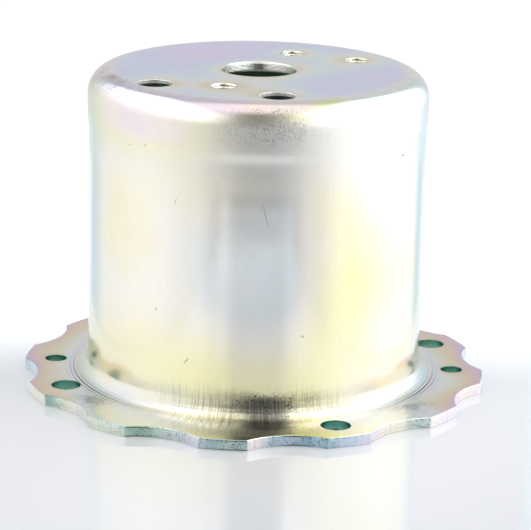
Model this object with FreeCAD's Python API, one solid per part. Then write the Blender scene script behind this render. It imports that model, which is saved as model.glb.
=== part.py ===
"""Deep drawn cup of zinc-plated sheet steel, with a closed top and a scalloped flange.

One blank of sheet is drawn into a cup, so the part is one solid: a flat closed top, a rounded
shoulder, a straight wall, a small bend at the foot of the wall, and a flange that stands on the
surface. The rim of the flange is trimmed with twelve shallow scallops. The top and the flange
are pierced with holes, and three of the top's holes are tapped.

Millimetres. The origin is the middle of the flange's underside, and +Z points up to the closed
top. Angles are measured from +X towards +Y.
"""
import FreeCAD
import Part
import math
import os

# The sheet and the drawn form
SHEET = 2.0                  # thickness of the sheet, the same everywhere
HEIGHT = 61.0                # underside of the flange to the outer face of the top
WALL_RADIUS = 32.4           # outer radius of the straight wall
FLANGE_WIDTH = 12.6          # straight wall to the lobes of the rim
PUNCH_RADIUS = 2.6           # inner bend between the wall and the top
DIE_RADIUS = 3.0             # outer bend between the wall and the flange
SWELL = 0.2                  # the wall's upper end stands proud of the straight wall by this
SWELL_RUN = 3.2              # height over which the wall widens by the swell
SWELL_BAND = 3.8             # height of the proud band, up to the start of the shoulder

# The trimmed rim of the flange
SCALLOP_COUNT = 12
SCALLOP_RADIUS = 13.4        # hollow of each scallop
SCALLOP_DEPTH = 2.7          # deepest point of a scallop, inwards from the lobes
CORNER_RADIUS = 0.8          # rounding where a scallop meets a lobe
ROLL_OVER = 0.3              # rounding that trimming leaves on the rim's upper edge

# Holes in the flange, with their centres measured inwards from the lobes
BOLT_HOLE_DIAMETER = 5.5     # clearance for M5
BOLT_HOLE_COUNT = 4
BOLT_HOLE_INSET = 6.2
PILOT_HOLE_DIAMETER = 4.1
PILOT_HOLE_INSET = 6.1
PILOT_ANGLES = (-25.0, 155.0)

# Holes in the top, with the outer ones measured inwards from the straight wall
BORE_DIAMETER = 14.2
BORE_CHAMFER = 0.4
TAP_DRILL_DIAMETER = 4.2     # for M5 x 0.8
TAP_CHAMFER = 0.5
TAP_CIRCLE_DIAMETER = 35.0
TAP_ANGLES = (45.0, 225.0)
OUTER_TAP_INSET = 10.6
OUTER_TAP_ANGLE = 6.0
CLEARANCE_HOLE_DIAMETER = 6.6    # clearance for M6
CLEARANCE_HOLE_INSET = 7.9
CLEARANCE_ANGLES = (195.0, 255.0)

FLANGE_RADIUS = WALL_RADIUS + FLANGE_WIDTH
TRIM = 2.0                   # flange beyond the lobes, which trimming takes off
OVERCUT = 1.0                # length that a tool runs past the face that it cuts

UP = FreeCAD.Vector(0, 0, 1)


def on_section(radius, height):
    """Point of the half section at this radius and height."""
    return FreeCAD.Vector(radius, 0, height)


def around(radius, degrees, height=0.0):
    """Point at this radius and angle about the cup's axis."""
    angle = math.radians(degrees)
    return FreeCAD.Vector(radius * math.cos(angle), radius * math.sin(angle), height)


def bend(centre, radius, start, end):
    """Arc of the half section about a centre, between two angles in degrees."""
    points = []
    for degrees in (start, (start + end) / 2, end):
        angle = math.radians(degrees)
        points.append(centre + on_section(radius * math.cos(angle), radius * math.sin(angle)))
    return Part.Arc(*points).toShape()


def swell(depth, bottom):
    """Double bend of the wall's skin, upright at both ends, from this height upwards."""
    low, high = WALL_RADIUS - depth, WALL_RADIUS + SWELL - depth
    curve = Part.BezierCurve()
    curve.setPoles([
        on_section(low, bottom),
        on_section(low, bottom + SWELL_RUN / 2),
        on_section(high, bottom + SWELL_RUN / 2),
        on_section(high, bottom + SWELL_RUN),
    ])
    return curve.toShape()


def skin(depth):
    """Edges of the sheet's skin that lies this deep below the outer face, from rim to axis."""
    rim = on_section(FLANGE_RADIUS + TRIM, SHEET - depth)
    foot = on_section(WALL_RADIUS + DIE_RADIUS, SHEET + DIE_RADIUS)
    shoulder_radius = PUNCH_RADIUS + SHEET
    band_radius = WALL_RADIUS + SWELL
    shoulder = on_section(band_radius - shoulder_radius, HEIGHT - shoulder_radius)
    band_bottom = shoulder.z - SWELL_BAND
    swell_bottom = band_bottom - SWELL_RUN
    return [
        Part.makeLine(rim, on_section(foot.x, rim.z)),
        bend(foot, DIE_RADIUS + depth, 270, 180),
        Part.makeLine(on_section(WALL_RADIUS - depth, foot.z),
                      on_section(WALL_RADIUS - depth, swell_bottom)),
        swell(depth, swell_bottom),
        Part.makeLine(on_section(band_radius - depth, band_bottom),
                      on_section(band_radius - depth, shoulder.z)),
        bend(shoulder, shoulder_radius - depth, 0, 90),
        Part.makeLine(on_section(shoulder.x, HEIGHT - depth), on_section(0, HEIGHT - depth)),
    ]


def drawn_blank():
    """The cup as drawn, before its flange is trimmed and its holes are pierced."""
    edge_radius = FLANGE_RADIUS + TRIM
    edge = Part.makeLine(on_section(edge_radius, 0), on_section(edge_radius, SHEET))
    axis = Part.makeLine(on_section(0, HEIGHT - SHEET), on_section(0, HEIGHT))
    section = Part.Wire(Part.sortEdges(skin(0) + skin(SHEET) + [edge, axis])[0])
    return Part.Face(section).revolve(FreeCAD.Vector(), UP, 360)


def toward(start, end, length):
    """Point at this length from the start, on the line to the end."""
    return start + (end - start).normalize() * length


def trim_outline():
    """Closed outline of the rim: lobes on the flange radius, hollow scallops, rounded corners."""
    tool_circle = FLANGE_RADIUS - SCALLOP_DEPTH + SCALLOP_RADIUS
    corner_circle = FLANGE_RADIUS - CORNER_RADIUS
    across = tool_circle ** 2 + corner_circle ** 2 - (SCALLOP_RADIUS + CORNER_RADIUS) ** 2
    half_scallop = math.degrees(math.acos(across / (2 * tool_circle * corner_circle)))
    pitch = 360 / SCALLOP_COUNT
    edges = []
    for index in range(SCALLOP_COUNT):
        middle = (index + 0.5) * pitch
        tool = around(tool_circle, middle)
        corners = []
        for degrees in (middle - half_scallop, middle + half_scallop):
            centre = around(corner_circle, degrees)
            on_lobe = around(FLANGE_RADIUS, degrees)
            on_scallop = toward(centre, tool, CORNER_RADIUS)
            between = toward(centre, (on_lobe + on_scallop) / 2, CORNER_RADIUS)
            corners.append((on_lobe, between, on_scallop))
        first, last = corners
        deepest = around(FLANGE_RADIUS - SCALLOP_DEPTH, middle)
        next_lobe = around(FLANGE_RADIUS, middle + pitch / 2)
        next_corner = around(FLANGE_RADIUS, middle + pitch - half_scallop)
        edges.append(Part.Arc(*first))
        edges.append(Part.Arc(first[2], deepest, last[2]))
        edges.append(Part.Arc(*reversed(last)))
        edges.append(Part.Arc(last[0], next_lobe, next_corner))
    return Part.Wire([edge.toShape() for edge in edges])


def trimmed(blank):
    """The blank with its flange trimmed to the outline and the upper edge rolled over."""
    cup = blank.common(Part.Face(trim_outline()).extrude(UP * HEIGHT))
    foot_radius = WALL_RADIUS + DIE_RADIUS
    rim = [edge for edge in cup.Edges if is_level(edge, SHEET) and reach(edge) > foot_radius]
    return cup.makeFillet(ROLL_OVER, rim)


def is_level(edge, height):
    """Whether the whole edge lies at this height."""
    low, high = edge.BoundBox.ZMin, edge.BoundBox.ZMax
    return abs(low - height) < 1e-4 and abs(high - height) < 1e-4


def reach(edge):
    """Distance from the cup's axis to the middle of the edge, a little less on a full circle."""
    middle = edge.valueAt((edge.FirstParameter + edge.LastParameter) / 2)
    return math.hypot(middle.x, middle.y) - 1e-4


def punch(diameter, place, length):
    """Round tool that cuts upwards from its place."""
    return Part.makeCylinder(diameter / 2, length, place, UP)


def flange_punches():
    """Tools for the holes that go through the flange."""
    length = SHEET + 2 * OVERCUT
    tools = []
    for index in range(BOLT_HOLE_COUNT):
        degrees = index * 360 / BOLT_HOLE_COUNT
        place = around(FLANGE_RADIUS - BOLT_HOLE_INSET, degrees, -OVERCUT)
        tools.append(punch(BOLT_HOLE_DIAMETER, place, length))
    for degrees in PILOT_ANGLES:
        place = around(FLANGE_RADIUS - PILOT_HOLE_INSET, degrees, -OVERCUT)
        tools.append(punch(PILOT_HOLE_DIAMETER, place, length))
    return tools


def chamfered_punch(diameter, chamfer, place):
    """Tools for a hole through the top with both of its edges chamfered."""
    radius = diameter / 2
    wide = radius + chamfer + OVERCUT
    below = place - UP * (SHEET + OVERCUT)
    return [
        punch(diameter, below, SHEET + 2 * OVERCUT),
        Part.makeCone(radius, wide, chamfer + OVERCUT, place - UP * chamfer, UP),
        Part.makeCone(wide, radius, chamfer + OVERCUT, below, UP),
    ]


def top_punches():
    """Tools for the holes that go through the closed top."""
    tools = chamfered_punch(BORE_DIAMETER, BORE_CHAMFER, around(0, 0, HEIGHT))
    taps = [around(TAP_CIRCLE_DIAMETER / 2, degrees, HEIGHT) for degrees in TAP_ANGLES]
    taps.append(around(WALL_RADIUS - OUTER_TAP_INSET, OUTER_TAP_ANGLE, HEIGHT))
    for place in taps:
        tools += chamfered_punch(TAP_DRILL_DIAMETER, TAP_CHAMFER, place)
    for degrees in CLEARANCE_ANGLES:
        place = around(WALL_RADIUS - CLEARANCE_HOLE_INSET, degrees, HEIGHT - SHEET - OVERCUT)
        tools.append(punch(CLEARANCE_HOLE_DIAMETER, place, SHEET + 2 * OVERCUT))
    return tools


def drawn_cup():
    """The finished cup."""
    cup = trimmed(drawn_blank())
    for tool in flange_punches() + top_punches():
        cup = cup.cut(tool)
    return cup.Solids[0]


os.makedirs("parts", exist_ok=True)
cup = drawn_cup()
print("valid", cup.isValid(), "volume", round(cup.Volume, 1), "faces", len(cup.Faces))
print("box", cup.BoundBox)
cup.exportStep("parts/drawn_cup.step")
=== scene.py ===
# %% [markdown]
# # A deep drawn cup of zinc-plated sheet steel
#
# This lesson dresses one sheet-metal part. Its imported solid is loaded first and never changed. The
# mesh made here is the same cup again, with what a press leaves on the sheet: sheared edges,
# threads, draw rings and shallow waves. Lengths are in millimetres until they become vertices.

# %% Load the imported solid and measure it
import math

import bmesh
import bpy
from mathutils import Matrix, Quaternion, Vector, geometry, kdtree, noise


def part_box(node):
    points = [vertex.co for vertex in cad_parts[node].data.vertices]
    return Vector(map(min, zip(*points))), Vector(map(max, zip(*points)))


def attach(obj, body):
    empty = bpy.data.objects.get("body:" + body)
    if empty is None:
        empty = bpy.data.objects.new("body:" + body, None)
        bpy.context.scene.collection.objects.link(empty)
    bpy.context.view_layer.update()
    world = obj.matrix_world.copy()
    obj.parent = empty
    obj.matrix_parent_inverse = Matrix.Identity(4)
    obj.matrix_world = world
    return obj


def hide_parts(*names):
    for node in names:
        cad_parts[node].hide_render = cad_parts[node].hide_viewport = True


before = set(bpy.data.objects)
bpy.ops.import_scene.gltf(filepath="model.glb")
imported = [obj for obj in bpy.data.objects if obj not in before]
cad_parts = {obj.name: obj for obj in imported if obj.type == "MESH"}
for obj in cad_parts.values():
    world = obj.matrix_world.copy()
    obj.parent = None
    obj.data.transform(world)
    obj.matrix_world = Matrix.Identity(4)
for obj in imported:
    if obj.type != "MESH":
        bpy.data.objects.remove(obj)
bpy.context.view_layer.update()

MM = 0.001
LOW, HIGH = (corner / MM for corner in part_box("drawn_cup"))
HEIGHT = HIGH.z
print("solid's box in mm:", [round(value, 3) for value in (*LOW, *HIGH)])

# %% [markdown]
# ## The sheet's sizes
#
# A drawn cup has few sizes. The sheet's thickness is the same everywhere, so every inner radius
# follows from the outer one. They are named here once, and each later step takes them from here.

# %% Name the sizes of the sheet
SHEET = 2.0
WALL_RADIUS = 32.4
SWELL = 0.2  # the band below the shoulder stands proud of the wall by this
SWELL_RUN = 3.2
SWELL_BAND = 3.8
SHOULDER_RADIUS = 4.6
FOOT_RADIUS = 3.0
RIM_RADIUS = 45.0
BAND_RADIUS = WALL_RADIUS + SWELL
TOP_RADIUS = BAND_RADIUS - SHOULDER_RADIUS
FOOT_EDGE = WALL_RADIUS + FOOT_RADIUS
FOOT_TOP = SHEET + FOOT_RADIUS
SHOULDER_BOTTOM = HEIGHT - SHOULDER_RADIUS
BAND_BOTTOM = SHOULDER_BOTTOM - SWELL_BAND
SWELL_BOTTOM = BAND_BOTTOM - SWELL_RUN
print("top plate ends at radius", TOP_RADIUS, "and the straight wall at height", SWELL_BOTTOM)

# %% Place the holes
BOLT_HOLE, PILOT_HOLE, CLEARANCE_HOLE, TAP_DRILL, BORE_RADIUS = 2.75, 2.05, 3.3, 2.1, 7.1
TAP_CHAMFER, BORE_CHAMFER = 0.5, 0.4


def around(radius, degrees):
    """Point in plan at this radius and angle about the cup's axis."""
    angle = math.radians(degrees)
    return (radius * math.cos(angle), radius * math.sin(angle))


def holes_at(hole_radius, *places):
    """Holes as (centre, radius), each from its distance to the axis and its angle."""
    return [(around(*place), hole_radius) for place in places]


BOLT_HOLES = holes_at(BOLT_HOLE, (38.8, 0), (38.8, 90), (38.8, 180), (38.8, 270))
PILOT_HOLES = holes_at(PILOT_HOLE, (38.9, -25), (38.9, 155))
CLEARANCE_HOLES = holes_at(CLEARANCE_HOLE, (24.5, 195), (24.5, 255))
TAPPED_HOLES = holes_at(TAP_DRILL, (17.5, 45), (17.5, 225), (21.8, 6))
BORE = (around(0, 0), BORE_RADIUS)
FLANGE_HOLES = BOLT_HOLES + PILOT_HOLES
TOP_HOLES = CLEARANCE_HOLES + TAPPED_HOLES + [BORE]
print("holes in the flange:", len(FLANGE_HOLES), "and in the top:", len(TOP_HOLES))

# %% [markdown]
# ## A place to collect the skin
#
# The cup is one closed skin, but it is easiest to make in regions: plates, turned walls, hole
# walls. Each region is added to the same lists as a grid or as triangles, and points that meet
# are welded at the end. A grid keeps its points in rows, so its faces are only index arithmetic.

# %% Collect points and faces, with a finish number for each face
OUTSIDE, SHEARED, SHADED_INSIDE, PUNCHED_SHADED, BORED, TORN_SHADED, PIERCED = range(7)
points = []
faces = []
finishes = []


def add_grid(rows, finish, flip=False):
    """Rows of points, each row closed on itself, joined row to row by quads."""
    count = len(rows[0])
    first = len(points)
    for row in rows:
        points.extend(row)
    for level in range(len(rows) - 1):
        for column in range(count):
            a = first + level * count + column
            b = first + level * count + (column + 1) % count
            quad = (a, b, b + count, a + count)
            faces.append(tuple(reversed(quad)) if flip else quad)
            finishes.append(finish)


# %% Write circles, arcs and stretched noise
def circle(centre, radius, height, count):
    """Row of points round a vertical axis."""
    turn = 2 * math.pi / count
    return [(centre[0] + radius * math.cos(turn * i), centre[1] + radius * math.sin(turn * i),
             height) for i in range(count)]


def arc(centre, radius, start, end, steps):
    """Points of a bend in the half section, (radius, height), between two angles in degrees."""
    angles = [math.radians(start + (end - start) * i / steps) for i in range(steps + 1)]
    return [(centre[0] + radius * math.cos(a), centre[1] + radius * math.sin(a)) for a in angles]


def scaled_noise(place, scale):
    """Noise at a place that is scaled first: a small number makes its clouds long that way."""
    return noise.noise(Vector([value * factor for value, factor in zip(place, scale)]))


# %% [markdown]
# ## The turned walls
#
# Shoulder, proud band, straight wall and foot bend are one curve turned about the axis. The curve
# is written once for a given depth below the outer face, so the inside follows from the outside.

# %% Write the half section
SHOULDER_STEPS, BAND_STEPS, SWELL_STEPS, WALL_STEPS, FOOT_STEPS = 20, 4, 10, 44, 28


def half_section(depth, coarse):
    """Points (radius, height) from the edge of the top plate down to the flange."""
    bend_steps = SHOULDER_STEPS // coarse
    shoulder = arc((TOP_RADIUS, SHOULDER_BOTTOM), SHOULDER_RADIUS - depth, 90, 0, bend_steps)
    band = [(BAND_RADIUS - depth, SHOULDER_BOTTOM - SWELL_BAND * i / BAND_STEPS)
            for i in range(1, BAND_STEPS + 1)]
    swell = []
    for i in range(SWELL_STEPS - 1, -1, -1):
        t = i / SWELL_STEPS
        lean = 3 * t * t * (1 - t) + t ** 3
        rise = 1.5 * t * (1 - t) ** 2 + 1.5 * t * t * (1 - t) + t ** 3
        swell.append((WALL_RADIUS + SWELL * lean - depth, SWELL_BOTTOM + SWELL_RUN * rise))
    steps = WALL_STEPS // coarse
    run = SWELL_BOTTOM - FOOT_TOP
    wall = [(WALL_RADIUS - depth, SWELL_BOTTOM - run * i / steps) for i in range(1, steps)]
    foot = arc((FOOT_EDGE, FOOT_TOP), FOOT_RADIUS + depth, 180, 270, FOOT_STEPS // coarse)
    return shoulder + band + swell + wall + foot

# %% [markdown]
# The press leaves a wall that is straight only to a few hundredths, and shallow rings at the foot,
# where the sheet was bent last. Both are real shape. The inside has no marks and half the rows.

# %% Add waves and rings, and turn the section
TURN_STEPS = 360
WAVE_DEPTH, WAVE_SCALE = 0.03, (0.045, 0.045, 0.02)
RIPPLE_DEPTH, RIPPLE_SCALE = 0.02, (0.03, 0.03, 0.28)
RIPPLE_BOTTOM, RIPPLE_RUN = 30, 10
WAVE_FADE = 6
RING_DEPTH, RING_SPACING, RING_FADE = 0.012, 0.5, 0.5
RING_TOP, RING_END = FOOT_TOP - 0.4, FOOT_EDGE - 0.05


def wall_wave(x, y, z):
    """How far the wall stands off its true radius: long waves, and ripples on its upper half."""
    high = min(1.0, max(0.0, (z - RIPPLE_BOTTOM) / RIPPLE_RUN))
    wave = WAVE_DEPTH * (scaled_noise((x, y, z), WAVE_SCALE) - 0.4)
    return wave + RIPPLE_DEPTH * high * (scaled_noise((x, y, z), RIPPLE_SCALE) - 0.5)


def ring_lift(cosine, sine, radius, height):
    """How far a ring mark presses the skin of the foot in."""
    fade = min(RING_FADE, max(0.0, RING_END - radius), max(0.0, RING_TOP - height)) / RING_FADE
    sway = scaled_noise((cosine, sine, height), (1.6, 1.6, 0.4))
    return RING_DEPTH * fade * math.sin(2 * math.pi * radius / RING_SPACING + sway)


def turn_section(depth, coarse):
    """Rows of points round the axis for the section at this depth."""
    rows = []
    for radius, height in half_section(depth, coarse):
        on_wall = min(1.0, max(0.0, (SHOULDER_BOTTOM - height) / WAVE_FADE),
                      max(0.0, (height - FOOT_TOP) / WAVE_FADE))
        row = []
        for i in range(TURN_STEPS // coarse):
            angle = 2 * math.pi * i * coarse / TURN_STEPS
            c, s = math.cos(angle), math.sin(angle)
            wave = lift = 0.0
            if depth == 0:
                wave = on_wall * wall_wave(c * WALL_RADIUS, s * WALL_RADIUS, height)
                lift = ring_lift(c, s, radius, height)
            reach = radius + wave - lift
            row.append((reach * c, reach * s, height - lift))
        rows.append(row)
    return rows


add_grid(turn_section(0, 1), OUTSIDE, flip=True)
add_grid(turn_section(SHEET, 2), SHADED_INSIDE)
print("turned walls:", len(faces), "faces")

# %% [markdown]
# ## The trimmed rim
#
# A die cuts the flange to twelve lobes with a hollow scallop between each pair and a rounded
# corner at each end of a scallop. Every point of that outline is kept with the direction that
# points out of the sheet, because the sheared edge needs to step in and out along it.

# %% Trace the outline with its outward directions
SCALLOP_COUNT = 12
SCALLOP_RADIUS = 13.4
SCALLOP_DEPTH = 2.7
CORNER_RADIUS = 0.8
CORNER_STEPS, SCALLOP_STEPS, LOBE_STEPS = 6, 32, 20
PITCH = 360 / SCALLOP_COUNT
TOOL_CIRCLE = RIM_RADIUS - SCALLOP_DEPTH + SCALLOP_RADIUS
CORNER_CIRCLE = RIM_RADIUS - CORNER_RADIUS
across = TOOL_CIRCLE ** 2 + CORNER_CIRCLE ** 2 - (SCALLOP_RADIUS + CORNER_RADIUS) ** 2
HALF_SCALLOP = math.degrees(math.acos(across / (2 * TOOL_CIRCLE * CORNER_CIRCLE)))


def swing(centre, radius, start, end, steps, side):
    """Points along an arc in plan with their outward directions; side is -1 round a hollow."""
    turn = (end - start + math.pi) % (2 * math.pi) - math.pi
    found = []
    for i in range(steps):
        angle = start + turn * i / steps
        c, s = math.cos(angle), math.sin(angle)
        place = Vector((centre[0] + radius * c, centre[1] + radius * s))
        found.append((place, Vector((c, s)) * side))
    return found


def bearing(start, end):
    """Angle in radians of the line from one point in plan to another."""
    return math.atan2(end[1] - start[1], end[0] - start[0])


def trim_outline():
    """The rim's outline, counter-clockwise, as (point, outward direction)."""
    outline = []
    for index in range(SCALLOP_COUNT):
        middle = (index + 0.5) * PITCH
        tool = Vector(around(TOOL_CIRCLE, middle))
        start, end = middle - HALF_SCALLOP, middle + HALF_SCALLOP
        first, last = (Vector(around(CORNER_CIRCLE, degrees)) for degrees in (start, end))
        start, end, next_start = (math.radians(degrees) for degrees in (start, end, start + PITCH))
        outline += swing(first, CORNER_RADIUS, start, bearing(first, tool), CORNER_STEPS, 1)
        outline += swing(tool, SCALLOP_RADIUS, bearing(tool, first), bearing(tool, last),
                         SCALLOP_STEPS, -1)
        outline += swing(last, CORNER_RADIUS, bearing(last, tool), end, CORNER_STEPS, 1)
        outline += swing((0, 0), RIM_RADIUS, end, next_start, LOBE_STEPS, 1)
    return outline


OUTLINE = trim_outline()
print("rim outline:", len(OUTLINE), "points, half a scallop is", round(HALF_SCALLOP, 2), "degrees")

# %% [markdown]
# ## The sheared edge of the rim
#
# A trimmed edge has four bands from the side that the die enters: a rolled-over corner, a
# burnished band with fine upright scores, a rougher torn band that leans in, and a small burr.
# Each is a few rows of the same grid, set in by its own depth. The scores come from noise that
# changes along the edge and hardly at all up it.

# %% Build the rim's edge
ROLL_OVER = 0.3
BURNISH_BOTTOM = 0.75
TEAR_LEAN = 0.07
BURR_HEIGHT, BURR_INSET = 0.16, 0.02
UNDER_INSET = 0.06
BAND_ROWS = 4
SCORE_DEPTH, SCORE_SCALE = 0.02, (1.9, 1.9, 0.12)
GRIT_DEPTH, GRIT_SCALE = 0.06, (3.7, 3.7, 3.1)
NEAR_FACE = 0.02  # rows this close to a flat plate keep to its outline


def rounded_edge(radius, top, step):
    """Rows (inset, height) over a rounded upper edge, one for each step in degrees."""
    turns = [math.radians(degrees) for degrees in range(0, 91, step)]
    return [(radius * (1 - math.sin(a)), top - radius * (1 - math.cos(a))) for a in turns]


def band(start, end):
    """Rows down one band of the edge, between two (inset, height)."""
    return [tuple(a + (b - a) * i / BAND_ROWS for a, b in zip(start, end))
            for i in range(1, BAND_ROWS + 1)]


def cut_depth(place, height):
    """Depth of the scores, and below them of the torn band's grit."""
    if not NEAR_FACE < height < SHEET - NEAR_FACE:
        return 0.0
    depth = SCORE_DEPTH * (0.5 + 0.5 * scaled_noise((*place, height), SCORE_SCALE))
    if height < BURNISH_BOTTOM:
        depth += GRIT_DEPTH * (0.5 + 0.5 * scaled_noise((*place, height), GRIT_SCALE))
    return depth


def set_in(inset):
    """The rim's outline in plan, set in all round."""
    return [(place - out * inset)[:] for place, out in OUTLINE]


rim_steps = rounded_edge(ROLL_OVER, SHEET, 15)
rim_steps += band((0.0, SHEET - ROLL_OVER), (0.0, BURNISH_BOTTOM))
rim_steps += band((0.0, BURNISH_BOTTOM), (TEAR_LEAN, BURR_HEIGHT))
rim_steps += [(BURR_INSET, BURR_HEIGHT * 0.4), (BURR_INSET, 0.04), (UNDER_INSET, 0.0)]
rim_rows = [[(*(place - out * (inset + cut_depth(place, height))), height)
             for place, out in OUTLINE] for inset, height in rim_steps]
add_grid(rim_rows, SHEARED, flip=True)
print("with the rim:", len(faces), "faces")

# %% [markdown]
# ## Flat plates with holes
#
# The closed top and the flange are flat, with holes. A constrained triangulation fills the space
# between the outline and the hole edges, whatever their number. Extra points on rings keep the
# triangles even, and give the film's thickness enough places to be stored at.

# %% Fill a plate between loops
HOLE_SIDES = {PILOT_HOLE: 64, TAP_DRILL: 72, BOLT_HOLE: 72, CLEARANCE_HOLE: 84, BORE_RADIUS: 150}
HOLE_RINGS = (0.25, 0.6, 1.2)
RING_CLEARANCE = 1.6
FAR = 9.0


def loop(centre, radius, count):
    """Closed loop in plan."""
    return [point[:2] for point in circle(centre, radius, 0, count)]


def from_holes(place, holes):
    """Distance from a place in plan to the edge of the nearest hole."""
    return min([math.dist(place, centre) - radius for centre, radius, _ in holes] + [FAR])


def fill_plate(outer, holes, opening, rings, height, up, finish):
    """Triangles from an outer loop in to holes (centre, radius, sides) and a middle opening."""
    loops = [outer] + [loop(*hole) for hole in holes]
    if opening:
        loops.append(loop((0, 0), *opening))
    flat, edges = [], []
    for closed in loops:
        first, count = len(flat), len(closed)
        flat += [Vector(place) for place in closed]
        edges += [(first + i, first + (i + 1) % count) for i in range(count)]
    for centre, radius, sides in holes:
        for gap in HOLE_RINGS:
            flat += [Vector(place) for place in loop(centre, radius + gap, sides // 2)]
    for radius, count in rings:
        flat += [Vector(place) for place in loop((0, 0), radius, count)
                 if from_holes(place, holes) > RING_CLEARANCE]
    made = geometry.delaunay_2d_cdt(flat, edges, [], 1, 1e-6)
    start = len(points)
    points.extend((place.x, place.y, height) for place in made[0])
    for triangle in made[2]:
        a, b, c = (made[0][i] for i in triangle)
        middle = (a + b + c) / 3
        in_opening = opening and middle.length < opening[0] - 1e-3
        if in_opening or from_holes(middle, holes) < -1e-4:
            continue
        corners = [start + i for i in triangle]
        counter = (b - a).cross(c - a) > 0
        faces.append(tuple(corners) if counter == up else tuple(reversed(corners)))
        finishes.append(finish)


# %% Fill the top and the flange
EDGE_ROUND = 0.12
TOP_RINGS = [(radius, int(radius * 4.2))
             for radius in (26.8, 25.2, 23.2, 21, 18.6, 16.2, 13.8, 11.4, 9.4)]
FLANGE_RINGS = [(radius, 260) for radius in (36.2, 37.2, 38.4, 39.6, 40.8, 41.6)]


def widened(holes, extra):
    """Holes as (centre, radius, sides) with this much more radius."""
    return [(centre, radius + extra, HOLE_SIDES[radius]) for centre, radius in holes]


chamfered = widened(TAPPED_HOLES, TAP_CHAMFER) + widened([BORE], BORE_CHAMFER)
fill_plate(loop((0, 0), TOP_RADIUS, TURN_STEPS), widened(CLEARANCE_HOLES, EDGE_ROUND) + chamfered,
           None, TOP_RINGS, HEIGHT, True, OUTSIDE)
fill_plate(loop((0, 0), TOP_RADIUS, TURN_STEPS // 2), widened(CLEARANCE_HOLES, 0.0) + chamfered,
           None, TOP_RINGS[::2], HEIGHT - SHEET, False, SHADED_INSIDE)
fill_plate(set_in(ROLL_OVER), widened(FLANGE_HOLES, EDGE_ROUND), (FOOT_EDGE, TURN_STEPS),
           FLANGE_RINGS, SHEET, True, OUTSIDE)
fill_plate(set_in(UNDER_INSET), widened(FLANGE_HOLES, 0.0), (FOOT_EDGE, TURN_STEPS // 2),
           FLANGE_RINGS[::2], 0.0, False, SHADED_INSIDE)
print("with the plates:", len(faces), "faces")

# %% [markdown]
# ## Hole walls
#
# A punched hole has the same bands as the rim, so a plain hole starts with a small rounding, has
# faint upright scores and ends torn. A drilled and tapped hole has a chamfer at each end and a
# thread. For a thread cut into a wall, the radius at any place is the larger of the thread's and
# the chamfer's, so one formula gives the crests, the roots and the way the thread runs out.

# %% Write a hole's wall and its punched rows
HOLE_SCORE_DEPTH = 0.025
PUNCHED_ROWS, CLEAN_ROWS = 10, 6
TORN_LEAN = 0.12


def hole_wall(centre, radius, steps, depth_at, finish):
    """Wall of a hole from rows (depth, height), deepened by a function; a pierced one ends torn."""
    top, bottom = steps[0][1], steps[-1][1]
    sides = HOLE_SIDES[radius]
    rows = []
    for depth, height in steps:
        row = []
        for i in range(sides):
            angle = 2 * math.pi * i / sides
            deepest = max(depth, depth_at(angle, height)) if bottom < height < top else depth
            wide = radius + deepest
            row.append((centre[0] + wide * math.cos(angle), centre[1] + wide * math.sin(angle),
                        height))
        rows.append(row)
    # The lower rows of a pierced hole get a finish painted nearly black as shade.
    clean = len(rows) // 2 + 1 if finish == PIERCED else len(rows)
    add_grid(rows[:clean], finish)
    if clean < len(rows):
        add_grid(rows[clean - 1:], TORN_SHADED)


def scored(centre):
    """Faint upright scores, different for each hole."""
    def depth_at(angle, height):
        place = (math.cos(angle) * 4 + centre[0], math.sin(angle) * 4 + centre[1], height)
        return HOLE_SCORE_DEPTH * (0.5 + 0.5 * scaled_noise(place, (1, 1, 0.2)))
    return depth_at


def punched_steps(top, bottom):
    """Rows of a punched hole: rounded edge, burnished wall, and a torn foot that leans out."""
    run = top - EDGE_ROUND - bottom
    wall = [(TORN_LEAN * max(0.0, (i - CLEAN_ROWS) / (PUNCHED_ROWS - CLEAN_ROWS)),
             top - EDGE_ROUND - run * i / PUNCHED_ROWS) for i in range(1, PUNCHED_ROWS)]
    return rounded_edge(EDGE_ROUND, top, 18) + wall + [(0.0, bottom)]


for centre, radius in FLANGE_HOLES:
    hole_wall(centre, radius, punched_steps(SHEET, 0.0), scored(centre), PUNCHED_SHADED)
for centre, radius in CLEARANCE_HOLES:
    hole_wall(centre, radius, punched_steps(HEIGHT, HEIGHT - SHEET), scored(centre), PIERCED)
print("with the punched holes:", len(faces), "faces")

# %% Bore and tap the other holes
THREAD_PITCH = 0.8
THREAD_DEPTH = 0.4
BORE_ROWS, THREAD_ROWS = 20, 40


def threaded(angle, height):
    """Depth of a metric thread with flat crests, at this angle and height."""
    turn = (height / THREAD_PITCH - angle / (2 * math.pi)) % 1.0
    ridge = min(turn, 1 - turn) * 2
    return THREAD_DEPTH * min(1.0, max(0.0, ridge * 1.25 - 0.15))


def chamfered_steps(chamfer, rows):
    """Rows of a hole through the top with a chamfer at both ends."""
    heights = [HEIGHT - SHEET * i / rows for i in range(rows + 1)]
    return [(max(0.0, chamfer - (HEIGHT - height), chamfer - (height - HEIGHT + SHEET)), height)
            for height in heights]


hole_wall(*BORE, chamfered_steps(BORE_CHAMFER, BORE_ROWS), scored(BORE[0]), BORED)
for centre, radius in TAPPED_HOLES:
    hole_wall(centre, radius, chamfered_steps(TAP_CHAMFER, THREAD_ROWS), threaded, BORED)
print("with all holes:", len(faces), "faces")

# %% [markdown]
# ## One closed skin
#
# Now the regions are welded into one mesh. A closed skin has no open edges, which is easy to
# count, and a count of zero says that every region met its neighbours.

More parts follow.
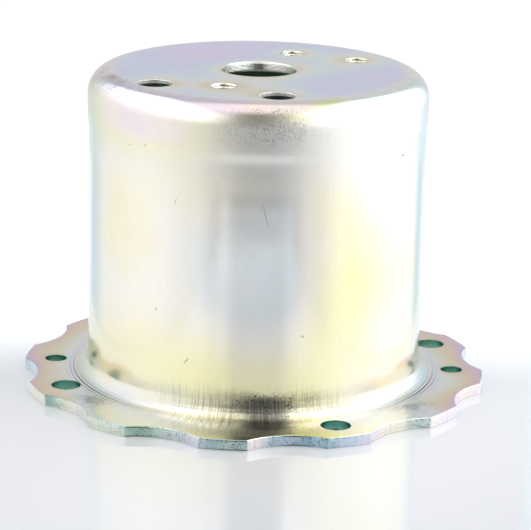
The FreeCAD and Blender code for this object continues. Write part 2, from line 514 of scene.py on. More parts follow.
# %% Weld the regions and look for open edges
WELD = 1e-6
SHARP_FROM = 32  # degrees between two faces
mesh = bpy.data.meshes.new("drawn_cup_skin")
mesh.from_pydata([tuple(v * MM for v in p) for p in points], [], faces)
mesh.polygons.foreach_set("material_index", finishes)
work = bmesh.new()
work.from_mesh(mesh)
bmesh.ops.remove_doubles(work, verts=work.verts, dist=WELD)
open_edges = sum(len(edge.link_faces) != 2 for edge in work.edges)
print("open edges:", open_edges, "triangles:", sum(len(f.verts) - 2 for f in work.faces))
work.to_mesh(mesh)
work.free()

cup = bpy.data.objects.new("cup_skin", mesh)
bpy.context.scene.collection.objects.link(cup)
mesh.shade_smooth()
mesh.set_sharp_from_angle(angle=math.radians(SHARP_FROM))

# %% [markdown]
# ## What the film, the wear and the painted shade need to know
#
# The colours of a passivated zinc coat come from its thickness, which differs by place: thin where
# the sheet was rubbed, thick round holes and along the rim. A shader can't know how far a point is
# from a hole, so that is measured here once for every vertex and stored with the mesh, and so are
# the wear and the painted shade. Angles are counted to the right from the viewer's front.

# %% Find the nearest edge, and write shares that rise, fall or peak
EDGE_POINTS = 48
edge_places = [(place.x, place.y, SHEET) for place, _ in OUTLINE]
for holes, height in ((FLANGE_HOLES, SHEET), (TOP_HOLES, HEIGHT)):
    for centre, radius in holes:
        edge_places += circle(centre, radius, height, EDGE_POINTS)
edge_tree = kdtree.KDTree(len(edge_places))
for index, place in enumerate(edge_places):
    edge_tree.insert(place, index)
edge_tree.balance()


def rising(value, low, high):
    """Share from 0 to 1 of the way between two limits, with soft ends."""
    t = min(1.0, max(0.0, (value - low) / (high - low)))
    return t * t * (3 - 2 * t)


def falling(value, low, high):
    """Share that falls from 1 at the lower limit to 0 at the upper one."""
    return rising(-value, -high, -low)


def hump(value, middle, width):
    """Share that is 1 at a middle value and fades to both sides."""
    return math.exp(-((value - middle) / width) ** 2)


FRONT_DEGREES = -113.3


def turned(place):
    """Angle in degrees about the axis from the front, from -180 to 180."""
    return (math.degrees(math.atan2(place.y, place.x)) - FRONT_DEGREES + 180) % 360 - 180

# %% Write the film's thickness
# A patch of the wall: angle, height, half width in degrees, half height, extra thickness.
WALL_PATCHES = [
    (-48, 30, 20, 20, 0.08), (-40, 12, 26, 8, 0.06), (34, 26, 15, 14, 0.20),
    (58, 30, 18, 15, 0.10), (24, 44, 9, 10, 0.07), (20, 16, 9, 12, 0.08),
    (0, 7, 30, 6, 0.06), (150, 30, 40, 16, 0.22), (-130, 16, 30, 12, 0.24),
    (100, 44, 22, 10, 0.10), (0, 44, 14, 7, 0.02),
]
# A patch of the top: how far right, how far away, half width, extra thickness.
TOP_PATCHES = [
    (-24, 0, 9, 0.085), (-8, 10, 8, -0.06), (-12, -15, 8, 0.12),
    (-3, -20, 8, 0.18), (2, -12, 6, 0.12), (12, -1, 5, 0.075),
    (16, 10, 8, 0.13), (26, -6, 8, -0.04),
]
PATCH_SCALE = (0.06, 0.06, 0.05)


def on_rim_edge(radius, height):
    """Whether a place is on the rim's cut edge or below it."""
    return radius > FOOT_EDGE + 4 and height < SHEET - 0.1


def film_on_top(radius, angle, cloudy, edge):
    """Film of the closed top: thick next to holes, and in patches."""
    film = 0.575 + 0.06 * cloudy + 0.34 * math.exp(-edge / 2.4)
    right, away = radius * math.sin(math.radians(angle)), -radius * math.cos(math.radians(angle))
    for x, y, wide, amount in TOP_PATCHES:
        film += amount * hump(right, x, wide) * hump(away, y, wide)
    return film


def film_on_wall(angle, height, cloudy):
    """Film of the wall: some near the foot, most at the shoulder, and in patches."""
    right = rising(angle, 15, 45) * falling(angle, 90, 120)
    left = hump(angle, -45, 34)
    film = 0.05 + 0.04 * cloudy
    spared = (1 - 0.6 * right) * (1 - 0.6 * left * falling(height, 3, 8))
    film += 0.17 * falling(height, 7, 24) * spared
    film += 0.08 * left * rising(height, 14, 40)
    shoulder = left + (1 - left) * rising(height, 56, 60)
    film += 0.36 * rising(height, 47, 55) * shoulder * (1 - 0.8 * right)
    for degrees, middle, wide, tall, amount in WALL_PATCHES:
        off = (angle - degrees + 180) % 360 - 180
        film += amount * hump(off, 0, wide) * hump(height, middle, tall)
    return film


def film_thickness(place, radius, angle, edge):
    """Thickness of the film, 0 where it is rubbed off and 1.25 at its deepest lilac."""
    cloudy = scaled_noise(place, PATCH_SCALE)
    if on_rim_edge(radius, place.z):
        return 0.52 + 0.3 * cloudy
    if place.z > HEIGHT - 0.6 and radius < TOP_RADIUS + 0.1:
        return film_on_top(radius, angle, cloudy, edge)
    wall = film_on_wall(angle, place.z, cloudy)
    if place.z > SHEET + 0.6:
        return wall
    side = rising(abs(angle), 40, 56)
    flange = 0.80 + 0.19 * rising(radius, FOOT_EDGE + 1.6, RIM_RADIUS - 1.2)
    front = 0.07 + 0.05 * rising(radius, 38, 44) + 0.22 * hump(angle, 12, 9)
    flange = front + (flange - front) * side
    flange = wall + (flange - wall) * rising(radius, FOOT_EDGE - 1.0, FOOT_EDGE + 1.0)
    return flange + 0.12 * cloudy * side + 0.05 * cloudy + 0.2 * math.exp(-edge) * side


# %% Write the wear and the painted shade
# Angle at which the front's wear, and the painted shade at the foot's front, are the strongest.
FRONT_OF_WEAR_AND_SHADE = 4  # angle at which the front's wear is the strongest


def colour_depth(radius, angle, height):
    """How strongly the film colours: faint on rubbed bends and beside the flange's front."""
    if height > SHEET + 3 * FOOT_RADIUS:
        rubbed = hump(radius, TOP_RADIUS, 0.8) * rising(height, 59, 60.5)
        faded = 0.45 + 0.3 * hump(angle, FRONT_OF_WEAR_AND_SHADE, 18)
        return (1 - 0.85 * rubbed) * (1 - faded * rising(height, 44, 50) * falling(height, 57, 60))
    if on_rim_edge(radius, height):
        return 0.5
    corner = 1 - 0.9 * hump(abs(angle), 48, 7)
    bend = 1 - 0.6 * hump(radius, FOOT_EDGE + 0.3, 2.4)
    return 1 + (corner * bend - 1) * falling(height, 3, 4.5)


def galling(radius, angle, height):
    """How much the die roughened the skin, most on the shoulder; at the front of the foot and beside
    it, the same mask paints shade.
    """
    front = 0.62 * hump(angle, FRONT_OF_WEAR_AND_SHADE, 13) * falling(height, 59.6, 60.5)
    left = hump(angle, -68, 18) * rising(height, 58.5, 60)
    right = 0.3 * hump(angle, 72, 12) * rising(height, 59, 60.5)
    shoulder = rising(height, SHOULDER_BOTTOM - 4, SHOULDER_BOTTOM - 1.5)
    shoulder *= rising(radius, TOP_RADIUS - 1.4, TOP_RADIUS + 0.2)
    edge = 0.14 * hump(radius, TOP_RADIUS, 0.5) * rising(height, 59, 60.5)
    # Painted shade: the foot's front, facing the viewer, and a spot at each side of it are darkened
    # through this mask.
    spread = 9 + 3 * rising(height, 2.2, 4)
    foot = 1.85 * hump(angle, FRONT_OF_WEAR_AND_SHADE, spread) * falling(height, 5, 7.5)
    foot *= falling(radius, 38, 42)
    beside = 1.2 * hump(abs(angle), 51, 6) * falling(height, 2.2, 2.6)
    beside *= rising(radius, FOOT_EDGE - 0.5, FOOT_EDGE + 1.5) * falling(radius, 39, 43)
    return max(0.04, shoulder * (0.06 + 0.94 * max(front, left, right)), edge, foot, beside)


def dulling(radius, angle, height):
    """How much rougher the skin is than the smooth wall."""
    high = 0.14 * rising(height, 42, 49) * falling(height, 57, 60)
    high += 0.09 * rising(height, 55, 57) * falling(height, 59, 61) * hump(angle, FRONT_OF_WEAR_AND_SHADE, 20)
    return high + 0.10 * falling(height, 5, 8) * falling(radius, 35, 38)


def ring_marks(radius, angle, height):
    """Where the die's ring marks show: round the foot's end, at both sides of the front."""
    sides = max(hump(angle, -62, 26), hump(angle, 64, 20))
    return sides * hump(radius, FOOT_EDGE - 0.1, 0.95) * falling(height, 2.4, 3)


def line_strength(radius, angle, height):
    """How strong the lines of drawing are: most at the front of the foot."""
    foot = falling(height, 3.5, 9) * falling(abs(angle), 10, 42) * falling(radius, 36.5, 40)
    return 0.07 + 1.4 * foot


def front_edge_shade(place, out):
    """How nearly a cut edge faces the viewer, from 0 to 1, with some noise; painted shade with a
    green tint goes there.
    """
    off = turned(out)
    worn = scaled_noise((place.x, place.y, 3.0), (0.25, 0.25, 1.0))
    faces_front = falling(off, 12, 36) * (0.3 + 0.7 * rising(off, -48, -18))
    return faces_front * (0.9 + 0.4 * worn) + 0.12 * max(0.0, worn)


def section_length(radius, height):
    """Distance along the sheet from the rim over the wall to the axis."""
    if height < FOOT_TOP and radius > WALL_RADIUS - 0.5:
        return RIM_RADIUS - radius + max(0.0, height - SHEET)
    if height > HEIGHT - 1:
        return RIM_RADIUS + HEIGHT - radius
    return RIM_RADIUS - WALL_RADIUS + height


# %% Measure each vertex and store what the finishes read
BY_PLACE = {"depth": colour_depth, "galling": galling, "dulling": dulling, "rings": ring_marks,
            "lines": line_strength}
measures = {name: [] for name in ("film", *BY_PLACE, "facing")}
unrolled = []
for vertex in mesh.vertices:
    place = vertex.co / MM
    radius, angle, height = math.hypot(place.x, place.y), turned(place), place.z
    measures["film"].append(film_thickness(place, radius, angle, edge_tree.find(place)[2]))
    measures["facing"].append(front_edge_shade(place, vertex.normal))
    for name, measure in BY_PLACE.items():
        measures[name].append(measure(radius, angle, height))
    unrolled += [place.x / radius, place.y / radius, section_length(radius, height)]
for name, values in measures.items():
    mesh.attributes.new(name, "FLOAT", "POINT").data.foreach_set("value", values)
mesh.attributes.new("unrolled", "FLOAT_VECTOR", "POINT").data.foreach_set("vector", unrolled)
print("film from", round(min(measures["film"]), 2), "to", round(max(measures["film"]), 2))

# %% [markdown]
# ## Helpers for nodes
#
# A material is a small sum, and the sum is easier to read as calls than as links. These helpers
# add a node, join values to it and give back what comes out.

# %% Add a node and join values to it


def fill_socket(tree, socket, value):
    """Join another node's output to the socket, or set a plain value on it."""
    if isinstance(value, bpy.types.NodeSocket):
        tree.links.new(value, socket)
    else:
        socket.default_value = value


def add_node(tree, kind, settings=None, **inputs):
    """A shader node in the tree; inputs named i0, i1 and so on are taken by number."""
    node = tree.nodes.new("ShaderNode" + kind)
    for key, value in (settings or {}).items():
        setattr(node, key, value)
    for name, value in inputs.items():
        number = name[1:]
        fill_socket(tree, node.inputs[int(number) if number.isdigit() else name], value)
    return node


def stored(tree, name, output="Fac"):
    """Measure stored with the mesh under this name."""
    return add_node(tree, "Attribute", {"attribute_name": name}).outputs[output]


def texture_place(tree, output="Object"):
    """Where the shaded point is: in the object, or in its unwrap."""
    return add_node(tree, "TexCoord").outputs[output]


# %% Write arithmetic on values and places
def arithmetic(operation):
    """Function for one kind of arithmetic on values, taken one after another."""
    def join(tree, first, *others):
        for other in others or (0.0,):
            node = add_node(tree, "Math", {"operation": operation}, i0=first, i1=other)
            first = node.outputs[0]
        return first
    return join


add, subtract, multiply, divide, greatest, sine, absolute, angle_of = map(arithmetic, (
    "ADD", "SUBTRACT", "MULTIPLY", "DIVIDE", "MAXIMUM", "SINE", "ABSOLUTE", "ARCTAN2"))


def vector_math(tree, operation, first, second=(0, 0, 0), output=0):
    """One step of arithmetic on places or directions."""
    node = add_node(tree, "VectorMath", {"operation": operation}, i0=first, i1=second)
    return node.outputs[output]


def blended(tree, factor, a, b, mode="MIX"):
    """Colour a turned into colour b by the factor."""
    settings = {"data_type": "RGBA", "blend_type": mode}
    return add_node(tree, "Mix", settings, i0=factor, i6=a, i7=b).outputs[2]


def eased(tree, value, low, high, at_low=0.0, at_high=1.0):
    """Value turned smoothly from one number to another between two limits."""
    return add_node(tree, "MapRange", {"interpolation_type": "SMOOTHSTEP"}, Value=value, i1=low,
                    i2=high, i3=at_low, i4=at_high).outputs["Result"]


def stops(tree, value, levels, interpolation="EASE"):
    """Colour ramp from (position, grey or colour) stops."""
    node = add_node(tree, "ValToRGB", Fac=value)
    node.color_ramp.interpolation = interpolation
    ramp = node.color_ramp.elements
    while len(ramp) < len(levels):
        ramp.new(0.5)
    for element, (position, level) in zip(ramp, levels):
        element.position = position
        element.color = (*level, 1) if isinstance(level, tuple) else (level, level, level, 1)
    return node.outputs["Color"]


def cloud(tree, place, scale, detail=3.0, roughness=0.5, stretch=(1, 1, 1)):
    """Noise value at a place, with the place stretched first."""
    moved = vector_math(tree, "MULTIPLY", place, stretch)
    return add_node(tree, "TexNoise", Vector=moved, Scale=scale, Detail=detail,
                    Roughness=roughness).outputs["Fac"]


# %% Start groups and materials
def start_group(name, inputs, outputs):
    """Node group with inputs (name, socket type, default) and outputs (name, socket type)."""
    group = bpy.data.node_groups.new(name, "ShaderNodeTree")
    for title, kind, default in inputs:
        socket = group.interface.new_socket(title, in_out="INPUT", socket_type=kind)
        socket.default_value = default
    for title, kind in outputs:
        group.interface.new_socket(title, in_out="OUTPUT", socket_type=kind)
    given = group.nodes.new("NodeGroupInput").outputs
    return group, given, group.nodes.new("NodeGroupOutput").inputs


def place_group(tree, group, **inputs):
    """The group as a node, with inputs named by their titles with _ for a space."""
    node = add_node(tree, "Group", {"node_tree": group})
    for title, value in inputs.items():
        fill_socket(tree, node.inputs[title.replace("_", " ")], value)
    return node.outputs


def new_material(name):
    """A new node material, its tree and its Principled shader."""
    material = bpy.data.materials.new(name)
    material.use_nodes = True
    tree = material.node_tree
    return material, tree, tree.nodes["Principled BSDF"]


# %% [markdown]
# ## The passivation film
#
# A clear film over zinc shows a soap-bubble order of colours as it thickens: silver, straw,
# yellow, pink, lilac, blue, pale green, ochre and mauve. The group takes a thickness, adds slow
# drifts to it, and looks the colour up. Every finish of the cup uses it with its own values.

# %% Build the film's group
FLOAT, COLOR, VECTOR = "NodeSocketFloat", "NodeSocketColor", "NodeSocketVector"
THICKEST = 1.25
CLEAR_FILM = (0.92, 0.92, 0.92, 1)
FILM_COLOURS = [
    (0.00, (0.88, 0.98, 1.00)), (0.05, (0.94, 0.98, 0.98)), (0.09, (0.99, 0.97, 0.91)),
    (0.17, (0.99, 0.945, 0.72)), (0.25, (0.98, 0.935, 0.56)), (0.30, (0.96, 0.89, 0.60)),
    (0.34, (0.97, 0.85, 0.76)), (0.38, (0.90, 0.78, 0.84)), (0.42, (0.86, 0.75, 1.00)),
    (0.48, (0.77, 0.79, 1.00)), (0.54, (0.76, 0.88, 0.95)), (0.59, (0.84, 0.93, 0.88)),
    (0.64, (0.93, 0.91, 0.80)), (0.71, (0.90, 0.83, 0.58)), (0.80, (0.90, 0.75, 0.50)),
    (0.87, (0.88, 0.66, 0.60)), (0.94, (0.82, 0.62, 0.76)), (1.00, (0.72, 0.66, 0.84)),
]
film, given, wanted = start_group(
    "passivation_film",
    [("Thickness", FLOAT, 0.3), ("Drift", FLOAT, 0.1), ("Depth of Colour", FLOAT, 1.0)],
    [("Color", COLOR)])
here = texture_place(film)
slow = cloud(film, here, 38, 2, 0.45)
quick = multiply(film, cloud(film, here, 190, 3, 0.55, (1, 1, 0.5)), 0.35)
drift = multiply(film, subtract(film, add(film, slow, quick), 0.675), given["Drift"])
thickness = add(film, given["Thickness"], drift)
colour = stops(film, divide(film, thickness, THICKEST), FILM_COLOURS, "LINEAR")
film.links.new(blended(film, given["Depth of Colour"], CLEAR_FILM, colour), wanted["Color"])
print("film colours:", len(FILM_COLOURS))

# %% [markdown]
# ## Marks of the press
#
# The die leaves a grain of tiny torn spots where the sheet slid hardest, lines and smears in the
# direction of drawing, rings round the foot's end, nicks and a few scratches. Where a finish feeds
# the grain with a painted shade mask, the spots and the smear paint that shade. The group gives one
# height for the bump and one mask for duller, greyer metal, so that most marks are seen in both.

# %% Start the group with grain, lines and smears
GROOVE_PITCH = 0.26 * MM
RING_MARK_SPACING = 0.8  # in millimetres along the sheet
marks, given, wanted = start_group(
    "press_marks",
    [("Along the Sheet", VECTOR, (0, 0, 0)), ("Grain", FLOAT, 0.1), ("Lines", FLOAT, 0.3),
     ("Nicks", FLOAT, 1.0), ("Grooves", FLOAT, 0.0), ("Rings", FLOAT, 0.0)],
    [("Height", FLOAT), ("Dull", FLOAT)])
here = texture_place(marks)
grain = eased(marks, cloud(marks, here, 3600, 2, 0.6, (1, 1, 0.6)), 0.42, 0.66)
coarse = eased(marks, cloud(marks, here, 520, 2, 0.5), 0.3, 0.6)
torn = multiply(marks, grain, coarse, given["Grain"])
drawn = cloud(marks, given["Along the Sheet"], 1.0, 4, 0.7, (95, 95, 0.05))
rubbed = eased(marks, drawn, 0.36, 0.56, 0.68, 1.0)
# Where the grain input is high, a broad dark smear is painted; at the foot's front it is painted
# shade.
smear_and_shade = multiply(marks, eased(marks, given["Grain"], 0.6, 1.7), rubbed)
streak = multiply(marks, eased(marks, drawn, 0.47, 0.62), given["Lines"], 0.4)
lines = multiply(marks, subtract(marks, drawn, 0.5), given["Lines"])

# %% Add nicks, tool grooves and ring marks
spots = add_node(marks, "TexVoronoi", {"feature": "F1"}, Vector=here, Scale=85.0,
                 Randomness=1.0).outputs
pick = add_node(marks, "TexWhiteNoise", Vector=spots["Position"]).outputs["Value"]
nick = multiply(marks, eased(marks, spots["Distance"], 0.012, 0.032, 1.0, 0.0),
                eased(marks, pick, 0.86, 0.9), given["Nicks"])


def waves(place, spacing):
    """Even waves along the third part of a place."""
    along = add_node(marks, "SeparateXYZ", Vector=place).outputs["Z"]
    return sine(marks, multiply(marks, along, 2 * math.pi / spacing))


groove = multiply(marks, waves(here, GROOVE_PITCH), given["Grooves"])
ring = eased(marks, waves(given["Along the Sheet"], RING_MARK_SPACING), 0.0, 0.6)
ring = multiply(marks, ring, given["Rings"])
height = subtract(marks, add(marks, lines, groove), torn, nick, ring)
marks.links.new(height, wanted["Height"])
dull = greatest(marks, torn, nick, streak, ring, smear_and_shade)

# %% Add single scratches
# A scratch: angle from the front, height, lean in degrees, half length, half width.
SCRATCHES = [
    (-22.5, 12, -40, 1.1, 0.2), (3, 40.5, 14, 3.2, 0.12), (16, 17.5, 60, 0.5, 0.25),
    (-27, 42, -20, 0.9, 0.12), (-39, 51.5, 0, 0.3, 0.25), (-46, 51, 0, 0.25, 0.25),
    (-34, 21, 20, 0.5, 0.2),
]
SCRATCH_REACH = 4.0  # how far a scratch reaches through the sheet
for degrees, up, lean, long, wide in SCRATCHES:
    x, y = around(WALL_RADIUS, degrees + FRONT_DEGREES)
    out = Vector((x, y, 0)).normalized()
    along = Quaternion(out, math.radians(lean)) @ Vector((0, 0, 1))
    off = vector_math(marks, "SUBTRACT", here, Vector((x, y, up)) * MM)
    axes = [along / long, along.cross(out) / wide, out / SCRATCH_REACH]
    parts = [vector_math(marks, "DOT_PRODUCT", off, axis / MM, "Value") for axis in axes]
    spot = add_node(marks, "CombineXYZ", X=parts[0], Y=parts[1], Z=parts[2]).outputs[0]
    distance = vector_math(marks, "LENGTH", spot, output="Value")
    scratch = eased(marks, distance, 0.4, 1.0, 0.5, 0.0)
    scratch = multiply(marks, scratch, given["Nicks"])
    dull = greatest(marks, dull, scratch)
marks.links.new(dull, wanted["Dull"])
print("nodes in the group of marks:", len(marks.nodes))

# %% [markdown]
# ## The outer finish
#
# The base is the plated metal's own colour times the film's. Where the press dulled the skin, the
# colour goes to dark grey and the roughness rises; the same dark grey is painted as shade at the
# front of the foot and beside it. The grain and the lines go through one bump node, since they are
# finer than any mesh should be.

# %% Finish the outside
METAL = (0.85, 0.85, 0.85, 1)
DULL_AND_SHADED_METAL = (0.10, 0.10, 0.10, 1)


def plated(name, metal, thickness, roughness, bump, front_shade_metal=None, drift=0.3, depth=1.0,
           grain=0.2, lines=0.5, nicks=0.0, grooves=0.0, rings=0.0, rougher=0.0):
    """Plated finish; a name in place of a number is a stored measure.

    The second metal colour is a painted shade, shown where the stored measure of how nearly an edge
    faces the viewer is 1.
    """
    material, tree, shader = new_material(name)
    thickness, depth, grain, lines, rings, rougher = (
        stored(tree, value) if isinstance(value, str) else value
        for value in (thickness, depth, grain, lines, rings, rougher))
    colour = place_group(tree, film, Thickness=thickness, Drift=drift,
                         Depth_of_Colour=depth)["Color"]
    press = place_group(tree, marks, Along_the_Sheet=stored(tree, "unrolled", "Vector"),
                        Grain=grain, Lines=lines, Nicks=nicks, Grooves=grooves, Rings=rings)
    base = blended(tree, stored(tree, "facing"), metal, front_shade_metal) if front_shade_metal else metal
    toned = blended(tree, 1.0, colour, base, "MULTIPLY")
    share = multiply(tree, press["Dull"], 0.92)
    tree.links.new(blended(tree, share, toned, DULL_AND_SHADED_METAL), shader.inputs["Base Color"])
    haze = subtract(tree, cloud(tree, texture_place(tree), 120, 3, 0.6), 0.5)
    rough = add(tree, roughness, multiply(tree, haze, 0.10),
                multiply(tree, press["Dull"], 0.15), rougher)
    tree.links.new(rough, shader.inputs["Roughness"])
    relief = add_node(tree, "Bump", Strength=bump, Distance=0.02 * MM, Height=press["Height"])
    tree.links.new(relief.outputs["Normal"], shader.inputs["Normal"])
    shader.inputs["Metallic"].default_value = 1.0
    return material


# The outer finish's grain measure also paints shade at the front of the foot and beside it.
finish_for = {OUTSIDE: plated(
    "outer_plating_and_foot_shade", METAL, "film", 0.165, 0.7, drift=0.26, depth="depth", grain="galling",
    lines="lines", nicks=1.0, rings="rings", rougher="dulling")}

# %% [markdown]
# ## Sheared edges and the inside
#
# Cut edges are plated like the rest, and their scores spread the light; where they face the viewer
# they are painted a cool green shade. A punched hole's wall is painted dark green, as shade deep in
# the hole. The torn end of a hole is painted nearly black, as shade. The inside of the cup got a
# thick, dull film, with its metal painted darker and greener as shade.

# %% Finish the cut edges and the inside
# Cut edges that face the viewer get a darker green-blue metal and more dark grain: painted shade.
finish_for[SHEARED] = plated(
    "sheared_edge_plating_and_shade", (0.88, 0.86, 0.88, 1), "film", 0.16, 1.0, (0.40, 0.62, 0.66, 1),
    drift=0.5, depth="depth", grain="facing")
# The inside and the flange's underside get a darker green metal: painted shade, over a thick dull
# film.
finish_for[SHADED_INSIDE] = plated(
    "inner_plating_shaded", (0.50, 0.60, 0.50, 1), 0.74, 0.3, 0.5, lines=0.4, nicks=0.5)
# Flange hole walls get a dark green metal: painted shade deep in the holes.
finish_for[PUNCHED_SHADED] = plated(
    "punched_hole_shaded_plating", (0.19, 0.42, 0.33, 1), 0.70, 0.27, 0.5, drift=0.2)
finish_for[BORED] = plated(
    "bored_hole_plating", (0.92, 0.92, 0.92, 1), 0.14, 0.2, 0.9, drift=0.5, depth=0.8,
    grain=0.3, lines=0.8, grooves=0.8)
# The torn lower half of a pierced hole is painted nearly black: painted shade from the cup's dark
# inside below it.
finish_for[TORN_SHADED] = plated(
    "torn_hole_foot_shade", (0.10, 0.12, 0.09, 1), 0.70, 0.45, 1.0, grain=0.8, lines=1.5)
finish_for[PIERCED] = plated(
    "pierced_hole_plating", (0.98, 0.98, 0.98, 1), 0.10, 0.5, 0.8, depth=0.8, lines=0.8)
for number in sorted(finish_for):
    mesh.materials.append(finish_for[number])
print("finishes:", [material.name for material in mesh.materials])

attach(cup, "root")
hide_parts("drawn_cup")

# %% [markdown]
# ## The camera
#
# A long lens from a little above keeps the cup's sides nearly parallel. The camera is turned to
# face its aim point first and then rolled by its small tilt.

# %% Place the camera
VIEW_FROM = Vector((-0.1909, -0.4432, 0.1587))
VIEW_AIM = Vector((0.00184, -0.00079, 0.0222))
ROLL = math.radians(1.216)
camera_data = bpy.data.cameras.new("studio_camera")
camera_data.lens = 174.7
camera_data.sensor_width = 36
camera_data.clip_start = 0.01
camera = bpy.data.objects.new("studio_camera", camera_data)
camera.location = VIEW_FROM
camera.rotation_mode = "QUATERNION"
facing_aim = (VIEW_AIM - VIEW_FROM).to_track_quat("-Z", "Y")
camera.rotation_quaternion = facing_aim @ Quaternion((0, 0, 1), ROLL)
bpy.context.scene.collection.objects.link(camera)
bpy.context.scene.camera = camera
FRONT = Vector((VIEW_FROM.x, VIEW_FROM.y, 0)).normalized()
RIGHT = Vector((-FRONT.y, FRONT.x, 0))
print("camera looks from azimuth", round(math.degrees(math.atan2(FRONT.y, FRONT.x)), 1))

# %% [markdown]
# ## Studio places
#
# The studio is laid out as the viewer sees it: so far to the right, so far away beyond the cup,
# so far up. One helper turns such a place into the cup's own frame.

# %% Lay out the studio
bpy.context.scene.view_settings.view_transform = "Standard"
bpy.context.scene.view_settings.look = "None"


def studio(right, away, up):
    """Place in the cup's frame, from millimetres to the viewer's right, away from them, and up."""
    return (RIGHT * right - FRONT * away + Vector((0, 0, up))) * MM


def flat_piece(name, corner, across, up, finish):
    """A flat stage piece from a corner and two sides, with a plain unwrap."""
    corner, across, up = (studio(*place) for place in (corner, across, up))
    flat = bpy.data.meshes.new(name)
    flat.from_pydata([corner, corner + across, corner + across + up, corner + up], [],
                     [(0, 1, 2, 3)])
    layer = flat.uv_layers.new(name="across")
    for corner, uv in zip(layer.data, ((0, 0), (1, 0), (1, 1), (0, 1))):
        corner.uv = uv
    flat.materials.append(finish)
    piece = bpy.data.objects.new(name, flat)
    bpy.context.scene.collection.objects.link(piece)
    return piece


def unwrap_parts(tree):
    """The unwrap's two shares, across and up."""
    return add_node(tree, "SeparateXYZ", Vector=texture_place(tree, "UV")).outputs


# %% [markdown]
# ## The table
#
# The cup stands on a glossy white plate that reaches well beyond it. Its edges fade out, so that
# it runs into the white surround without a line. It glows faintly behind the cup and near the
# viewer, and a third glow is seen only by the metal.

# %% Make the table
TABLE_WIDTH, TABLE_DEPTH = 520, 500
TABLE_FRONT, TABLE_TOP = -240, -0.05
EDGE_FADE = 75
table_finish, tree, shader = new_material("glossy_white_plate")
shader.inputs["Base Color"].default_value = (0.735, 0.75, 0.785, 1)
shader.inputs["Roughness"].default_value = 0.05
shader.inputs["IOR"].default_value = 1.9
shader.inputs["Specular IOR Level"].default_value = 0.8
split = unwrap_parts(tree)
cover = []
for axis, length in (("X", TABLE_WIDTH), ("Y", TABLE_DEPTH)):
    share = EDGE_FADE / length
    cover += [eased(tree, split[axis], 0, share), eased(tree, split[axis], 1 - share, 1, 1, 0)]
tree.links.new(multiply(tree, *cover), shader.inputs["Alpha"])


def glow_from(near, far, *glows):
    """Glow that changes between two distances beyond the cup."""
    limits = [(away - TABLE_FRONT) / TABLE_DEPTH for away in (near, far)]
    return eased(tree, split["Y"], *limits, *glows)


mirrored = subtract(tree, 1.0, add_node(tree, "LightPath").outputs["Is Camera Ray"])
faded = subtract(tree, 1.0, multiply(tree, mirrored, 0.8))
far_glow = multiply(tree, glow_from(-8, 40, 0.05, 0.55), faded)
near_glow = multiply(tree, glow_from(-140, -95, 0.3, 0.0), glow_from(-178, -164))
aside = absolute(tree, subtract(tree, split["X"], 0.5))
sides = eased(tree, aside, 10 / TABLE_WIDTH, 42 / TABLE_WIDTH, 0.6, 1.0)
bounced = multiply(tree, glow_from(-115, -80, 0.0, 0.26), sides, mirrored)
shader.inputs["Emission Color"].default_value = (1, 1, 1, 1)
tree.links.new(add(tree, far_glow, near_glow, bounced),
               shader.inputs["Emission Strength"])
flat_piece("table", (-TABLE_WIDTH / 2, TABLE_FRONT, TABLE_TOP), (TABLE_WIDTH, 0, 0),
           (0, TABLE_DEPTH, 0), table_finish)

# %% [markdown]
# ## Light panels
#
# Bright metal shows its surroundings, so its shading is made by what stands round it. A white
# panel stands close to each side, brighter towards its top and a little blue at its far end. The
# panels are hidden from the camera and still light the cup, as panels just outside a picture do.

# %% Stand the panels at both sides
PANEL_SIDE, PANEL_FRONT, PANEL_BOTTOM = 59, -150, 0.5
PANEL_LENGTH, PANEL_HEIGHT = 195, 169.5


def panel(name, side, strength, along, up):
    """Standing panel this far to the right, with stops of brightness along it and up it."""
    material, tree, shader = new_material(name)
    tree.nodes.remove(shader)
    split = unwrap_parts(tree)
    level = multiply(tree, stops(tree, split["Y"], up), 2 * strength)
    tint = stops(tree, split["X"], along)
    glow = add_node(tree, "Emission", Color=tint, Strength=level)
    tree.links.new(glow.outputs[0], tree.nodes["Material Output"].inputs["Surface"])
    piece = flat_piece(name, (side, PANEL_FRONT, PANEL_BOTTOM), (0, PANEL_LENGTH, 0),
                       (0, 0, PANEL_HEIGHT), material)
    piece.visible_camera = False


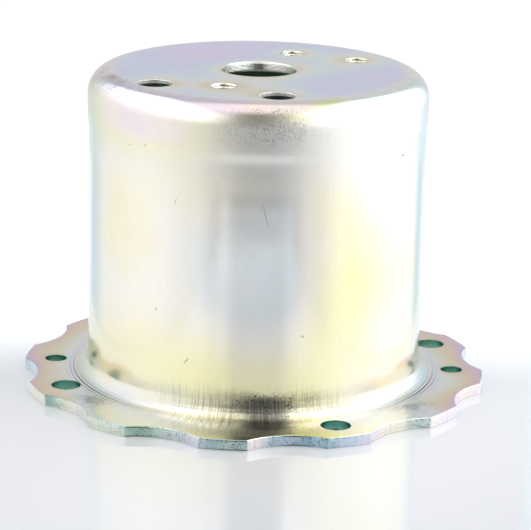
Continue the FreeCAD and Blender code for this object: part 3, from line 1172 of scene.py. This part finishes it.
panel("left_panel", -PANEL_SIDE, 1.15,
      [(0.0, 0.55), (0.34, 0.85), (0.61, 1.0), (0.78, 0.93), (0.9, (0.66, 0.76, 0.79)),
       (1.0, (0.56, 0.68, 0.76))],
      [(0.0, 0.5), (0.34, 0.5), (0.55, 1.0)])
panel("right_panel", PANEL_SIDE, 1.5,
      [(0.0, 0.4), (0.32, 0.62), (0.53, 0.85), (0.68, 1.0), (0.84, 0.9),
       (0.92, (0.50, 0.62, 0.68)), (1.0, (0.42, 0.55, 0.62))],
      [(0.0, 0.5), (0.24, 0.5), (0.5, 1.0)])

# %% [markdown]
# ## The room
#
# The camera sees plain white. The metal sees the room: a pale wall behind, a bright, warm ceiling
# and a dark opening on the viewer's side. The room is a function of the direction only.

# %% Write the room's walls by direction
BACK = (0.73, 0.73, 0.77)
CEILING = (1.32, 1.30, 1.24, 1)
world = bpy.data.worlds.new("studio_room")
bpy.context.scene.world = world
world.use_nodes = True
tree = world.node_tree
tree.nodes.clear()
direction = texture_place(tree, "Generated")


def part_along(axis):
    """Share of the direction that points along this axis."""
    return vector_math(tree, "DOT_PRODUCT", direction, axis, "Value")


def at(degrees):
    """Place on a ramp this many degrees to the viewer's right of the front."""
    return degrees / 360 + 0.5


turn = angle_of(tree, part_along(RIGHT), part_along(FRONT))
lap = add(tree, divide(tree, turn, 2 * math.pi), 0.5)
walls = stops(tree, lap, [
    (0.0, BACK), (at(-140), (0.62, 0.70, 0.76)), (at(-110), 0.9), (at(-60), 1.0), (at(-24), 0.9),
    (at(-12), 0.07), (at(18), 0.07), (at(28), 1.0), (at(60), 1.15), (at(110), 0.9),
    (at(145), (0.62, 0.74, 0.82)), (1.0, BACK)])
ground = stops(tree, lap, [
    (0.0, BACK), (at(-120), 0.9), (at(-60), 1.0), (at(-24), 0.8), (at(-12), 0.4), (at(18), 0.4),
    (at(28), 0.9), (at(60), 1.15), (at(120), 0.9), (1.0, BACK)])

# %% Light the room
upward = part_along((0, 0, 1))
room = blended(tree, eased(tree, upward, -0.1, 0.0), ground, walls)
room = blended(tree, eased(tree, upward, 0.84, 0.97), room, CEILING)
unseen = add_node(tree, "Background", Color=room, Strength=1.0)
seen = add_node(tree, "Background", Color=(1, 1, 1, 1), Strength=1.05)
by_ray = add_node(tree, "MixShader", i1=unseen.outputs[0], i2=seen.outputs[0],
                  Fac=add_node(tree, "LightPath").outputs["Is Camera Ray"])
add_node(tree, "OutputWorld", Surface=by_ray.outputs[0])
